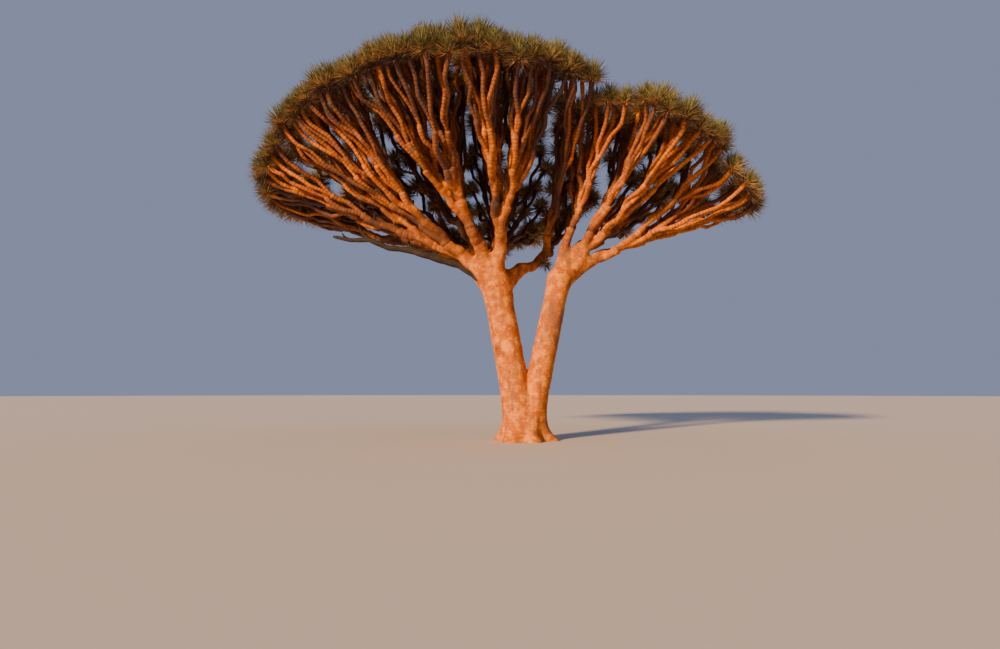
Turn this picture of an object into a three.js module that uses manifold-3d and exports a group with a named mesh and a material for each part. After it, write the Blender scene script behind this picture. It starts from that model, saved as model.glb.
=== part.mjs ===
// A dragon blood tree: two leaning stems from one flared foot carry one umbrella crown.
// Millimetres, +Z up, +Y away from the viewer. The origin is the flat cut at ground level.
import * as THREE from 'three';
import { mergeVertices } from 'three/addons/utils/BufferGeometryUtils.js';
import ManifoldModule from 'manifold-3d';

const wasm = await ManifoldModule();
wasm.setup();

const V = (...xyz) => new THREE.Vector3(...xyz);
const UP = V(0, 0, 1);
const GOLDEN_ANGLE = Math.PI * (3 - Math.sqrt(5));

// Faces that touch stay this far apart.
const GAP = 0.3;

// The foot: one trunk below the fork, flared at the ground.
const FORK_HEIGHT = 1200;
const ROOT_FLARE = 260;
const FLARE_HEIGHT = 230;
const ROOT_LOBES = 6;

// Each stem leans out from the origin by lean millimetres for each millimetre up, and ends in a
// round head. Its crown is a low dome of branch tips round a centre, with half widths along X and
// Y. It curls under at the rim, and a point over 1 makes it flatter near there. It falls by the
// tilts for each millimetre along +X and +Y, its left and right ends droop from a share of the half
// width on, and its back droops too, but not at its outer end. Seen from above, its four shoulders
// are pinched in. The tips are dealt out among the boughs in columns along X and rows along Y, after
// the low bough has taken those furthest to the right.
const STEMS = [
  {
    name: 'left', lean: -0.178, foot: -20, footRadius: 292, neckRadius: 258, headRadius: 305,
    headHeight: 3010, tips: 700, columns: 3, rows: 2, lowTips: 40, seed: 11,
    dome: {
      x: -1360, y: 550, halfX: 3790, halfY: 3150,
      rim: 5580, rise: 1370, point: 1.5, tiltX: -0.08, tiltY: 0.17,
      droop: 420, droopFrom: 0.7, backDroop: 700, outward: -1, pinch: 0.06,
    },
  },
  {
    name: 'right', lean: 0.214, foot: 14, footRadius: 250, neckRadius: 208, headRadius: 246,
    headHeight: 3120, tips: 300, columns: 4, rows: 1, lowTips: 0, seed: 53,
    dome: {
      x: 1820, y: 300, halfX: 2750, halfY: 2350,
      rim: 5390, rise: 800, point: 1.36, tiltX: 0.08, tiltY: 0.04,
      droop: 580, droopFrom: 0.6, backDroop: 700, outward: 1, pinch: 0.18,
    },
  },
];
const RIM_ANGLE = THREE.MathUtils.degToRad(94);
// Over 1, this draws the tips in from the rim.
const TIP_INWARD = 1.22;
const TIP_SCATTER = 80;
// The share of a half width over which an end droops, where the back starts to, and where along the
// outer half it stops.
const DROOP_RUN = 0.2;
const BACK_FROM = 0.2;
const BACK_ENDS = [0.1, 0.6];
// Where the crowns meet, the left one has this advantage.
const LEFT_SHARE = 0.85;

// A limb that carries n branch tips has this radius: n to a power, times that of one twig.
const TWIG_RADIUS = 31;
const PIPE_POWER = 0.326;

// Each limb goes a share of the way to the middle of its tips, STEP over the forks still to come,
// more or less by its wobble. SAG keeps it low, and the lifts turn its end up. A bough goes further
// before it forks, the low bough furthest, and those of the back row stay higher.
const STEP = 1.1;
const STEP_WOBBLE = 0.14;
const SAG = 1.2;
const HIGH_BOUGH = { stretch: 1.2, sag: 1, rise: 1 };
const BACK_BOUGH = { stretch: 1.2, sag: 0.78, rise: 1 };
const LOW_BOUGH = { stretch: 4.4, sag: 3.2, rise: 0.3 };
const SIDESTEP = 0.06;
const BEND = 0.36;
const LIMB_LIFT = 0.12;
const TIP_LIFT = 0.9;
// At a fork each limb is rooted this much deeper than the one before.
const ROOT_STEP = 19;
// This far along, a limb enters its mass of twigs and leaves.
const MASS_START = 0.8;

// The tips of one spray share one twig and one burst of leaves.
const TIPS_PER_SPRAY = 10;
const LAST_FORK = 3;
const LEAF_LENGTH = 560;
const LEAF_CORE = 130;
const SHORTEST_LEAF = 290;
// No leaf starts lower than this on its burst, and each is lifted, so that a burst is flat below.
const LOWEST_LEAF = -0.45;
const LEAF_LIFT = 0.22;

// The one dead limb: long, bare and low on the left.
const DEAD_LIMB = {
  points: [V(-620, 40, 2860), V(-1300, 60, 3520), V(-2400, 150, 3700), V(-3760, 250, 3940)],
  radii: [112, 38],
};

const BARK = new THREE.MeshStandardMaterial({ color: 0xa8744a, roughness: 0.85, metalness: 0 });
const FOLIAGE = new THREE.MeshStandardMaterial({ color: 0x5d6428, roughness: 0.7, metalness: 0 });

// A repeatable number from -1 to 1 for each code and salt.
function wobble(code, salt) {
  const wave = Math.sin(code * 12.9898 + salt * 78.233) * 43758.5453;
  return 2 * (wave - Math.floor(wave)) - 1;
}

const limbRadius = (tips) => TWIG_RADIUS * tips ** PIPE_POWER;

const meanOf = (points) =>
  points.reduce((sum, point) => sum.add(point), V(0, 0, 0)).divideScalar(points.length);

// How far out a point is in a dome, seen from above: 0 at its centre and 1 at its rim.
const reachIn = (dome, point) =>
  Math.hypot((point.x - dome.x) / dome.halfX, (point.y - dome.y) / dome.halfY);

// The branch tips of one crown: a sunflower spiral over its dome, less what the other dome holds.
function crownTips(stem, other, advantage) {
  const { dome, seed } = stem;
  const tips = [];
  for (let k = 0; k < stem.tips; k += 1) {
    const share = ((k + 0.5) / stem.tips) ** TIP_INWARD;
    const polar = Math.acos(1 - share * (1 - Math.cos(RIM_ANGLE)));
    const azimuth = k * GOLDEN_ANGLE;
    const out = Math.sin(polar) * (1 - dome.pinch * (0.5 - 0.5 * Math.cos(4 * azimuth)));
    const x = dome.halfX * out * Math.cos(azimuth) + TIP_SCATTER * wobble(k, seed);
    const y = dome.halfY * out * Math.sin(azimuth) + TIP_SCATTER * wobble(k, seed + 1);
    const { droopFrom } = dome;
    const shelf = THREE.MathUtils.smoothstep(Math.abs(x) / dome.halfX, droopFrom, droopFrom + DROOP_RUN);
    const outer = THREE.MathUtils.smoothstep((dome.outward * x) / dome.halfX, ...BACK_ENDS);
    const back = THREE.MathUtils.smoothstep(y / dome.halfY, BACK_FROM, 1) * (1 - outer);
    const fall = dome.tiltX * x + dome.tiltY * y + dome.droop * shelf + dome.backDroop * back;
    const high = Math.sign(Math.cos(polar)) * Math.abs(Math.cos(polar)) ** dome.point;
    const z = dome.rise * high - fall + TIP_SCATTER * wobble(k, seed + 2);
    const tip = V(dome.x + x, dome.y + y, dome.rim + z);
    if (reachIn(dome, tip) * advantage <= reachIn(other.dome, tip)) tips.push(tip);
  }
  return tips;
}

// The angle of a group's longest way, seen from above.
function longestWay(tips) {
  const mean = meanOf(tips);
  let xx = 0;
  let xy = 0;
  let yy = 0;
  for (const tip of tips) {
    const x = tip.x - mean.x;
    const y = tip.y - mean.y;
    xx += x * x;
    xy += x * y;
    yy += y * y;
  }
  return 0.5 * Math.atan2(2 * xy, xx - yy);
}

// Deals a group of tips into equal parts, side by side along an angle.
function deal(tips, parts, angle = longestWay(tips)) {
  const along = (tip) => tip.x * Math.cos(angle) + tip.y * Math.sin(angle);
  const sorted = [...tips].sort((a, b) => along(a) - along(b));
  const cut = (part) => Math.floor((part * sorted.length) / parts);
  return Array.from({ length: parts }, (_, part) => sorted.slice(cut(part), cut(part + 1)));
}

// The next length of limb towards a group of tips. It stays low at first, then turns up.
function nextLimb(tips, start, heading, code, { stretch, sag, rise } = { stretch: 1, sag: SAG, rise: 1 }) {
  const goal = meanOf(tips);
  const last = tips.length <= TIPS_PER_SPRAY;
  const step = (stretch * STEP * (1 + STEP_WOBBLE * wobble(code, 3))) / (Math.log2(tips.length) + 1);
  const share = last ? 1 : step;
  const way = goal.clone().sub(start);
  const end = V(start.x + way.x * share, start.y + way.y * share, start.z + way.z * share ** sag);
  const run = start.distanceTo(end);
  const onward = goal.clone().sub(last ? start : end).normalize();
  if (!last) end.add(V(wobble(code, 5), wobble(code, 6), 0).multiplyScalar(SIDESTEP * run));
  onward.addScaledVector(UP, last ? TIP_LIFT : LIMB_LIFT).multiply(V(1, 1, rise)).normalize();
  const curve = new THREE.CubicBezierCurve3(
    start,
    start.clone().addScaledVector(heading, BEND * run),
    end.clone().addScaledVector(onward, -BEND * run),
    end,
  );
  return { curve, start, end, onward, last, tips: tips.length };
}

// Every limb and burst of leaves that grows on from the end of a limb.
function growOn(tips, limb, code, grown = { limbs: [], bursts: [] }) {
  if (limb.last) {
    grown.bursts.push({ centre: limb.end, axis: limb.onward });
    return grown;
  }
  deal(tips, tips.length > LAST_FORK * TIPS_PER_SPRAY ? 2 : LAST_FORK).forEach((part, i) => {
    const root = limb.end.clone().addScaledVector(limb.onward, -ROOT_STEP * (i + 1));
    const next = nextLimb(part, root, limb.onward, 3 * code + 1 + i);
    grown.limbs.push(next);
    growOn(part, next, 3 * code + 1 + i, grown);
  });
  return grown;
}

// A closed geometry with nothing but shared vertices.
function bare(geometry) {
  geometry.deleteAttribute('normal');
  geometry.deleteAttribute('uv');
  return mergeVertices(geometry, 1e-4);
}

function solidOf(geometry) {
  const vertProperties = geometry.attributes.position.array;
  const triVerts = new Uint32Array(geometry.index.array);
  return new wasm.Manifold(new wasm.Mesh({ numProp: 3, vertProperties, triVerts }));
}

// A round limb along a curve, from one share of it to another: a cylinder whose rings are moved
// onto the curve. With slack it is that much larger all round, to cut with.
const FRAME_STEPS = 60;
function tube(curve, radiusAt, { sides, rings, from = 0, to = 1, slack = 0 }) {
  const geometry = bare(new THREE.CylinderGeometry(1, 1, 1, sides, rings));
  const { tangents, normals, binormals } = curve.computeFrenetFrames(FRAME_STEPS);
  const position = geometry.attributes.position;
  for (let i = 0; i < position.count; i += 1) {
    const share = position.getY(i) + 0.5;
    const along = from + (to - from) * share;
    const step = Math.round(along * FRAME_STEPS);
    const radius = radiusAt(along) + slack;
    const point = curve.getPointAt(along)
      .addScaledVector(tangents[step], share < 0.01 ? -slack : share > 0.99 ? slack : 0)
      .addScaledVector(binormals[step], position.getX(i) * radius)
      .addScaledVector(normals[step], position.getZ(i) * radius);
    position.setXYZ(i, point.x, point.y, point.z);
  }
  return solidOf(geometry);
}

// A burst of sword leaves: each face of a small core is drawn out to a point, apart from those
// next to the twig, which comes in through one face. reachTowards says how far a leaf may go.
function burst({ centre, axis }, reachTowards) {
  const core = bare(new THREE.IcosahedronGeometry(LEAF_CORE));
  const faceMiddle = (f) => meanOf([0, 1, 2].map((i) =>
    V().fromBufferAttribute(core.attributes.position, core.index.getX(3 * f + i))));
  const turn = new THREE.Quaternion().setFromUnitVectors(faceMiddle(0).normalize(), axis.clone().negate());
  core.applyQuaternion(turn);
  const points = [...core.attributes.position.array];
  const faces = [];
  for (let f = 0; f < core.index.count / 3; f += 1) {
    const [a, b, c] = [0, 1, 2].map((i) => core.index.getX(3 * f + i));
    const way = faceMiddle(f).normalize();
    const leafless = way.dot(axis) < LOWEST_LEAF;
    way.addScaledVector(axis, LEAF_LIFT).normalize();
    const reach = reachTowards(way);
    if (leafless || reach < SHORTEST_LEAF) {
      faces.push(a, b, c);
    } else {
      const tip = points.length / 3;
      points.push(...way.multiplyScalar(reach).toArray());
      faces.push(a, b, tip, b, c, tip, c, a, tip);
    }
  }
  const geometry = new THREE.BufferGeometry();
  geometry.setAttribute('position', new THREE.Float32BufferAttribute(points, 3));
  geometry.setIndex(faces);
  geometry.translate(centre.x, centre.y, centre.z);
  return solidOf(geometry);
}

// The middle of a stem at a height, and its radius there, which swells into the head.
const stemCentre = (stem, z) => V(stem.foot + stem.lean * z, 0, z);
function stemRadius(stem, z) {
  const taper = stem.footRadius + (stem.neckRadius - stem.footRadius) * (z / stem.headHeight);
  const swell = THREE.MathUtils.smoothstep(z, stem.headHeight - 650, stem.headHeight - 60);
  return taper + (stem.headRadius - taper) * swell;
}

// The foot: at each height its outline is that of the two stems together, with lobed roots.
function trunkFoot() {
  const rings = 7;
  const geometry = bare(new THREE.CylinderGeometry(1, 1, 1, 24, rings));
  const position = geometry.attributes.position;
  for (let i = 0; i < position.count; i += 1) {
    const x = position.getX(i);
    const y = position.getZ(i);
    const share = position.getY(i) + 0.5;
    const z = FORK_HEIGHT * (share * 0.55 + 0.45 * share * share);
    const middle = STEMS.reduce((sum, stem) => sum + stemCentre(stem, z).x / STEMS.length, 0);
    let out = 0;
    if (Math.hypot(x, y) > 0.5) {
      for (const stem of STEMS) {
        const offset = stemCentre(stem, z).x - middle;
        const radius = stemRadius(stem, z);
        const across = offset * y;
        const chord = Math.sqrt(Math.max(0, radius ** 2 - across ** 2));
        out = Math.max(out, offset * x + chord);
      }
      const angle = Math.atan2(y, x);
      const lobes = 1 + 0.35 * Math.sin(ROOT_LOBES * angle + 0.8) + 0.2 * Math.sin(3 * angle + 2);
      out += ROOT_FLARE * lobes * Math.exp(-z / FLARE_HEIGHT);
    }
    position.setXYZ(i, middle + x * out, -y * out, z);
  }
  return solidOf(geometry);
}

function stemSolid(stem, slack = 0) {
  const rings = 8;
  const foot = FORK_HEIGHT + GAP - slack;
  const geometry = bare(new THREE.CylinderGeometry(1, 1, 1, 14, rings));
  const position = geometry.attributes.position;
  for (let i = 0; i < position.count; i += 1) {
    const share = position.getY(i) + 0.5;
    const ring = Math.round(share * rings);
    const crown = ring === rings ? 0.62 : 1;
    const z = ring === rings ? stem.headHeight + 150 + slack
      : foot + (stem.headHeight - foot) * (ring / (rings - 1));
    const centre = stemCentre(stem, z);
    const radius = (stemRadius(stem, Math.min(z, stem.headHeight)) + slack) * crown;
    position.setXYZ(i, centre.x + position.getX(i) * radius, -position.getZ(i) * radius, z);
  }
  return solidOf(geometry);
}

// How finely a limb is faceted goes by the tips that it carries: [least tips, sides, rings].
const FACETS = [[60, 7, 3], [30, 5, 3], [15, 4, 1], [0, 3, 1]];

function limbSolid(limb, options = {}) {
  const thick = limbRadius(limb.tips);
  const thin = limb.last ? 0.8 * thick : limbRadius(limb.tips * 0.7);
  const [, sides, rings] = FACETS.find(([least]) => limb.tips >= least);
  return tube(limb.curve, (along) => thick + (thin - thick) * along, { sides, rings, ...options });
}

// Half of space, to cut with: all that lies past a point along a direction, from half a gap
// before it.
function allPast(point, direction) {
  const size = 4000;
  const box = bare(new THREE.BoxGeometry(size, size, size));
  box.applyQuaternion(new THREE.Quaternion().setFromUnitVectors(V(1, 0, 0), direction));
  const centre = point.clone().addScaledVector(direction, size / 2 - GAP / 2);
  box.translate(centre.x, centre.y, centre.z);
  return solidOf(box);
}

// A stem's boughs leave its head. Each forks into two limbs, and each limb enters a mass. The low
// bough comes last.
function growStem(stem, tips) {
  const head = stemCentre(stem, stem.headHeight - 120);
  const sorted = [...tips].sort((a, b) => b.x - a.x);
  const columns = deal(sorted.slice(stem.lowTips), stem.columns, 0);
  const groups = columns.flatMap((column) => deal(column, stem.rows, Math.PI / 2));
  if (stem.lowTips > 0) groups.push(sorted.slice(0, stem.lowTips));
  return groups.map((group, i) => {
    const code = stem.seed * 8 + i;
    const highWay = i % stem.rows === 1 ? BACK_BOUGH : HIGH_BOUGH;
    const way = i < stem.columns * stem.rows ? highWay : LOW_BOUGH;
    const heading = meanOf(group).sub(head).normalize();
    const bough = nextLimb(group, head, heading, code, way);
    const limbs = deal(group, 2).map((half, j) => {
      const ownCode = 3 * code + 1 + j;
      const limb = nextLimb(half, bough.end, bough.onward, ownCode);
      const grown = growOn(half, limb, ownCode);
      return { name: `${i + 1}${'ab'[j]}`, limb, goal: meanOf(half), grown };
    });
    return { name: `${i + 1}`, bough, limbs };
  });
}

const tree = new THREE.Group();
function addNode(name, solid, material) {
  const { numProp, vertProperties, triVerts } = solid.getMesh();
  const count = vertProperties.length / numProp;
  const points = new Float32Array(3 * count);
  for (let i = 0; i < count; i += 1) {
    points.set(vertProperties.subarray(i * numProp, i * numProp + 3), 3 * i);
  }
  const geometry = new THREE.BufferGeometry();
  geometry.setAttribute('position', new THREE.BufferAttribute(points, 3));
  geometry.setIndex(new THREE.BufferAttribute(triVerts, 1));
  const mesh = new THREE.Mesh(geometry, material);
  mesh.name = name;
  tree.add(mesh);
}

// What is there already, a gap larger, cuts what comes next. A scrap that falls off is dropped,
// and a hollow that joining seals is filled: its skin is a piece of its own in the fresh mesh.
const cutters = [];
const joined = (solids) => solids.reduce((all, solid) => all.add(solid));
const cutBy = (solid, others) => others.reduce((left, other) => left.subtract(other), solid);
const largestPiece = (solid) =>
  solid.decompose().reduce((best, piece) => (piece.volume() > best.volume() ? piece : best));
function cutClear(solid) {
  const cut = largestPiece(cutBy(solid, cutters));
  return largestPiece(new wasm.Manifold(cut.getMesh()));
}

addNode('trunk_foot', trunkFoot(), BARK);
for (const stem of STEMS) {
  addNode(`${stem.name}_stem`, cutClear(stemSolid(stem)), BARK);
  cutters.push(stemSolid(stem, GAP));
}

const [left, right] = STEMS;
const crowns = [
  { stem: left, boughs: growStem(left, crownTips(left, right, LEFT_SHARE)) },
  { stem: right, boughs: growStem(right, crownTips(right, left, 1 / LEFT_SHARE)) },
];

const deadCurve = new THREE.CubicBezierCurve3(...DEAD_LIMB.points);
const deadRadius = (along) => THREE.MathUtils.lerp(...DEAD_LIMB.radii, along);
const deadLimb = (slack) => tube(deadCurve, deadRadius, { sides: 7, rings: 7, slack });
addNode('left_dead_limb', cutClear(deadLimb(0)), BARK);
cutters.push(deadLimb(GAP));

for (const { stem, boughs } of crowns) {
  for (const { name, bough } of boughs) {
    addNode(`${stem.name}_bough_${name}`, cutClear(limbSolid(bough)), BARK);
    cutters.push(limbSolid(bough, { slack: GAP }));
  }
}

// Two limbs of one bough part at the plane between them.
for (const { stem, boughs } of crowns) {
  for (const { bough, limbs } of boughs) {
    limbs.forEach(({ name, limb, goal }, i) => {
      const away = limbs[1 - i].goal.clone().sub(goal);
      away.addScaledVector(bough.onward, -away.dot(bough.onward)).normalize();
      const own = limbSolid(limb, { to: MASS_START }).subtract(allPast(bough.end, away));
      addNode(`${stem.name}_limb_${name}`, cutClear(own), BARK);
    });
    for (const { limb } of limbs) cutters.push(limbSolid(limb, { to: MASS_START, slack: GAP }));
  }
}

const masses = crowns.flatMap(({ stem, boughs }) =>
  boughs.flatMap(({ limbs }) => limbs).map(({ name, limb, grown }) => (
    { name: `${stem.name}_mass_${name}`, limb, grown }
  )));
const allBursts = masses.flatMap((mass) => mass.grown.bursts);

// A leaf stays nearer to its own burst than to any other.
function reachFrom(centre) {
  return (way) => allBursts.reduce((reach, other) => {
    const apart = other.centre.clone().sub(centre);
    const towards = way.dot(apart);
    return towards > 1e-6 ? Math.min(reach, apart.lengthSq() / (2 * towards) - GAP) : reach;
  }, LEAF_LENGTH);
}

// Twigs that cross keep apart: those of a mass are cut by those of the masses before it, and its
// leaves are cut by the twigs of every other mass.
const twigSolids = ({ limb, grown }, slack) => [
  limbSolid(limb, { from: MASS_START, rings: 1, slack }),
  ...grown.limbs.map((twig) => limbSolid(twig, { slack })),
];
const twigCutters = masses.map((mass) => twigSolids(mass, GAP));
masses.forEach((mass, i) => {
  const twigs = cutBy(joined(twigSolids(mass, 0)), twigCutters.slice(0, i).flat());
  const bursts = mass.grown.bursts.map((leaves) => burst(leaves, reachFrom(leaves.centre)));
  const leaves = cutBy(joined(bursts), twigCutters.filter((_, j) => j !== i).flat());
  addNode(mass.name, cutClear(twigs.add(leaves)), FOLIAGE);
});

export default tree;
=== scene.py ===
# %% [markdown]
# # A dragon blood tree
# Two leaning stems rise from one flared foot and carry one umbrella crown. This lesson dresses the
# plain model of the tree: real bark on the stems and boughs, every twig down to the last, and a
# pincushion of sword leaves on each twig. The plain model is loaded first, because it says how
# large the tree is and which node each new piece takes the place of. Nothing of it is moved.

# %% Load the plain model
import math

import bpy
import bmesh
import numpy as np
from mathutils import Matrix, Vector, kdtree, noise


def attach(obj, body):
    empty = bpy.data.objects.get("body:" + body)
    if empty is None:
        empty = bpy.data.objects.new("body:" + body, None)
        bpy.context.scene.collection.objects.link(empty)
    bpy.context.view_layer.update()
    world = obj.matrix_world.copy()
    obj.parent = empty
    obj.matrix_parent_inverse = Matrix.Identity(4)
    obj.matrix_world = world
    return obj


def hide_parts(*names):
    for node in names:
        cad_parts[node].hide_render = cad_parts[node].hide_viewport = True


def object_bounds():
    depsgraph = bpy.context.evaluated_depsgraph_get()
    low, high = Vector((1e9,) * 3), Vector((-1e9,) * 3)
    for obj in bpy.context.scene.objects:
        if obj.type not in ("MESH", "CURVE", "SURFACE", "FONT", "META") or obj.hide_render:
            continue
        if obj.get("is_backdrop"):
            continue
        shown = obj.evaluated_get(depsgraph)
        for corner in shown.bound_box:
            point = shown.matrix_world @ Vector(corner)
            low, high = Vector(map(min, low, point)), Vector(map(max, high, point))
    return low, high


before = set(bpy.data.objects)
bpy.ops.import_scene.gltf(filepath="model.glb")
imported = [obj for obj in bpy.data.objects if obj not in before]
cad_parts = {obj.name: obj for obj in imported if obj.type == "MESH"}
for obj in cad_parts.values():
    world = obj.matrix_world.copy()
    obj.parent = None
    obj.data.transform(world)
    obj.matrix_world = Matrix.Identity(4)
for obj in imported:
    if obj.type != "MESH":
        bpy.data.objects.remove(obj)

plain_box = [list(corner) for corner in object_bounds()]
nodes = sorted(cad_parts)
print("nodes:", len(nodes))
print("size in metres:", [round(high - low, 3) for low, high in zip(*plain_box)])

# %% [markdown]
# ## The camera
# The tree is seen from low down, from about eleven metres away, through a wide lens. The camera
# comes first, because each later piece is seen through it.

# %% Camera
CAMERA_PLACE = (-0.47, -11.3, 0.9)
CAMERA_TILT = 6.4
LENS = 21.6
SENSOR = 36.0
FARTHEST_SEEN = 500

camera = bpy.data.objects.new("camera", bpy.data.cameras.new("camera"))
camera.data.lens = LENS
camera.data.sensor_width = SENSOR
camera.data.sensor_fit = "HORIZONTAL"
camera.data.clip_end = FARTHEST_SEEN
camera.location = CAMERA_PLACE
camera.rotation_euler = (math.radians(90 + CAMERA_TILT), 0, 0)
bpy.context.scene.collection.objects.link(camera)
bpy.context.scene.camera = camera
print("camera: lens", LENS, "mm,", round(-CAMERA_PLACE[1], 1), "m away")

# %% [markdown]
# ## Numbers that repeat
# Nature looks random, but a lesson should give the same tree each time. A wobble is a number from
# -1 to 1 that depends only on a code and a salt, so each limb has its own and keeps it. A smooth
# step goes from 0 to 1 between two values, without a corner at either end.

# %% Wobble and smooth step
GOLDEN_ANGLE = math.pi * (3 - math.sqrt(5))
UP = Vector((0, 0, 1))


def wobble(code, salt):
    wave = math.sin(code * 12.9898 + salt * 78.233) * 43758.5453
    return 2 * (wave - math.floor(wave)) - 1


def smoothstep(value, low, high):
    share = np.clip((value - low) / (high - low), 0, 1)
    return share * share * (3 - 2 * share)


print("three wobbles:", [round(wobble(code, 1), 2) for code in range(3)])

# %% [markdown]
# ## The crown's shape
# A dragon tree forks again and again, and all its twigs end at about the same height, so the crown
# is a low dome. Each stem has a dome of its own: a middle, two half widths, the height of its rim
# and its rise above that. It tilts a little, its outer shelf droops, and its far side droops more,
# but not at the outward end. The pinch takes some of its width away between the sides.

# %% Stems and domes, in metres
STEMS = {
    "left": dict(
        lean=-0.178, foot=-0.020, foot_radius=0.292, neck_radius=0.258, head_radius=0.305,
        head_height=3.010, tips=700, columns=3, rows=2, low_tips=40, seed=11,
        dome=dict(x=-1.360, y=0.550, half_x=3.790, half_y=3.150, rim=5.580, rise=1.370, point=1.5,
                  tilt_x=-0.080, tilt_y=0.17, droop=0.420, droop_from=0.70, back_droop=0.70, outward=-1,
                  pinch=0.06),
    ),
    "right": dict(
        lean=0.214, foot=0.014, foot_radius=0.250, neck_radius=0.208, head_radius=0.246,
        head_height=3.120, tips=300, columns=4, rows=1, low_tips=0, seed=53,
        dome=dict(x=1.820, y=0.300, half_x=2.750, half_y=2.350, rim=5.390, rise=0.800, point=1.36,
                  tilt_x=0.08, tilt_y=0.04, droop=0.580, droop_from=0.60, back_droop=0.70, outward=1,
                  pinch=0.18),
    ),
}
tops = {side: round(stem["dome"]["rim"] + stem["dome"]["rise"], 2) for side, stem in STEMS.items()}
print("the domes rise to", tops, "m")

# %% [markdown]
# ## The crown's tips
# The tips come before the wood that reaches for them. A sunflower spiral spreads them evenly over
# each dome, and where the two domes meet, each tip belongs to the nearer one.

# %% The tips of both crowns
RIM_ANGLE = math.radians(94)
TIP_INWARD = 1.22
TIP_SCATTER = 0.080
DROOP_RUN = 0.2
BACK_FROM = 0.2
BACK_ENDS = (0.1, 0.6)
LEFT_SHARE = 0.85


def reach_in(dome, point):
    return math.hypot((point.x - dome["x"]) / dome["half_x"], (point.y - dome["y"]) / dome["half_y"])


def fall_of(dome, x, y):
    """How far the dome hangs below an even one, at a place measured from its middle."""
    shelf = smoothstep(abs(x) / dome["half_x"], dome["droop_from"], dome["droop_from"] + DROOP_RUN)
    outer = smoothstep(dome["outward"] * x / dome["half_x"], *BACK_ENDS)
    back = smoothstep(y / dome["half_y"], BACK_FROM, 1) * (1 - outer)
    return dome["tilt_x"] * x + dome["tilt_y"] * y + dome["droop"] * shelf + dome["back_droop"] * back


def crown_tips(stem, other, advantage):
    dome, seed = stem["dome"], stem["seed"]
    tips = []
    for k in range(stem["tips"]):
        share = ((k + 0.5) / stem["tips"]) ** TIP_INWARD
        polar = math.acos(1 - share * (1 - math.cos(RIM_ANGLE)))
        azimuth = k * GOLDEN_ANGLE
        out = math.sin(polar) * (1 - dome["pinch"] * (0.5 - 0.5 * math.cos(4 * azimuth)))
        x = dome["half_x"] * out * math.cos(azimuth) + TIP_SCATTER * wobble(k, seed)
        y = dome["half_y"] * out * math.sin(azimuth) + TIP_SCATTER * wobble(k, seed + 1)
        high = math.copysign(abs(math.cos(polar)) ** dome["point"], math.cos(polar))
        z = dome["rise"] * high - fall_of(dome, x, y) + TIP_SCATTER * wobble(k, seed + 2)
        tip = Vector((dome["x"] + x, dome["y"] + y, dome["rim"] + z))
        if reach_in(dome, tip) * advantage <= reach_in(other["dome"], tip):
            tips.append(tip)
    return tips


left, right = STEMS["left"], STEMS["right"]
tips_of = {
    "left": crown_tips(left, right, LEFT_SHARE),
    "right": crown_tips(right, left, 1 / LEFT_SHARE),
}
print("tips:", {side: len(tips) for side, tips in tips_of.items()})

# %% [markdown]
# ## How a limb grows
# Each limb sets out in its parent's direction and bends towards the middle of the tips that it will
# carry. It stops on the way, where it forks, and the tips are dealt out between its children. Most
# boughs head straight for their tips, those at the back rise faster at first, and one low bough runs
# level behind the right stem. The plain model stops at sprays of ten tips. Here the same rule goes
# on until each twig carries one rosette of leaves, for its last one or two tips.

# %% Dealing out the tips
def mean_of(points):
    return sum(points, Vector()) / len(points)


def longest_way(tips):
    """The direction, seen from above, in which a group of tips is longest."""
    mean = mean_of(tips)
    xx = sum((tip.x - mean.x) ** 2 for tip in tips)
    yy = sum((tip.y - mean.y) ** 2 for tip in tips)
    xy = sum((tip.x - mean.x) * (tip.y - mean.y) for tip in tips)
    return 0.5 * math.atan2(2 * xy, xx - yy)


def deal(tips, parts, angle=None):
    """Cuts a group of tips into equal parts, across its longest way or a given one."""
    angle = longest_way(tips) if angle is None else angle
    ordered = sorted(tips, key=lambda tip: tip.x * math.cos(angle) + tip.y * math.sin(angle))
    cuts = [part * len(tips) // parts for part in range(parts + 1)]
    return [ordered[low:high] for low, high in zip(cuts, cuts[1:])]


print("the right crown in three parts:", [len(part) for part in deal(tips_of["right"], 3)])

# %% One limb
STEP = 1.1
STEP_WOBBLE = 0.14
SAG = 1.2
HIGH_BOUGH = dict(stretch=1.2, sag=1.0, rise=1.0)
BACK_BOUGH = dict(stretch=1.2, sag=0.78, rise=1.0)
LOW_BOUGH = dict(stretch=4.4, sag=3.2, rise=0.3)
SIDESTEP = 0.06
BEND = 0.36
LIMB_LIFT = 0.12
TIP_LIFT = 0.9
TIPS_PER_ROSETTE = 2


def next_limb(tips, start, heading, code, stretch=1.0, sag=SAG, rise=1.0):
    goal = mean_of(tips)
    last = len(tips) <= TIPS_PER_ROSETTE
    step = stretch * STEP * (1 + STEP_WOBBLE * wobble(code, 3)) / (math.log2(len(tips)) + 1)
    share = 1.0 if last else step
    way = goal - start
    end = start + Vector((way.x * share, way.y * share, way.z * share**sag))
    run = (end - start).length
    onward = (goal - (start if last else end)).normalized()
    if not last:
        end = end + Vector((wobble(code, 5), wobble(code, 6), 0)) * SIDESTEP * run
    onward = (onward + UP * (TIP_LIFT if last else LIMB_LIFT)) * Vector((1, 1, rise))
    onward.normalize()
    pull = (start, start + heading * BEND * run, end - onward * BEND * run, end)
    return dict(pull=pull, end=end, onward=onward, last=last, tips=len(tips), code=code)


print("one rosette for up to", TIPS_PER_ROSETTE, "tips")

# %% [markdown]
# ## The whole tree of limbs
# A stem's tips are first cut into columns and rows, one bough for each, and each bough carries two
# limbs. After that every limb forks in two or three until its tips are used up. A child's code comes
# from its parent's, so the parent's code can be worked out again later.

# %% Growing the tree
ROOT_STEP = 0.019
HEAD_DEPTH = 0.120
THREE_WAY_FORK = range(11, 31)


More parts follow.
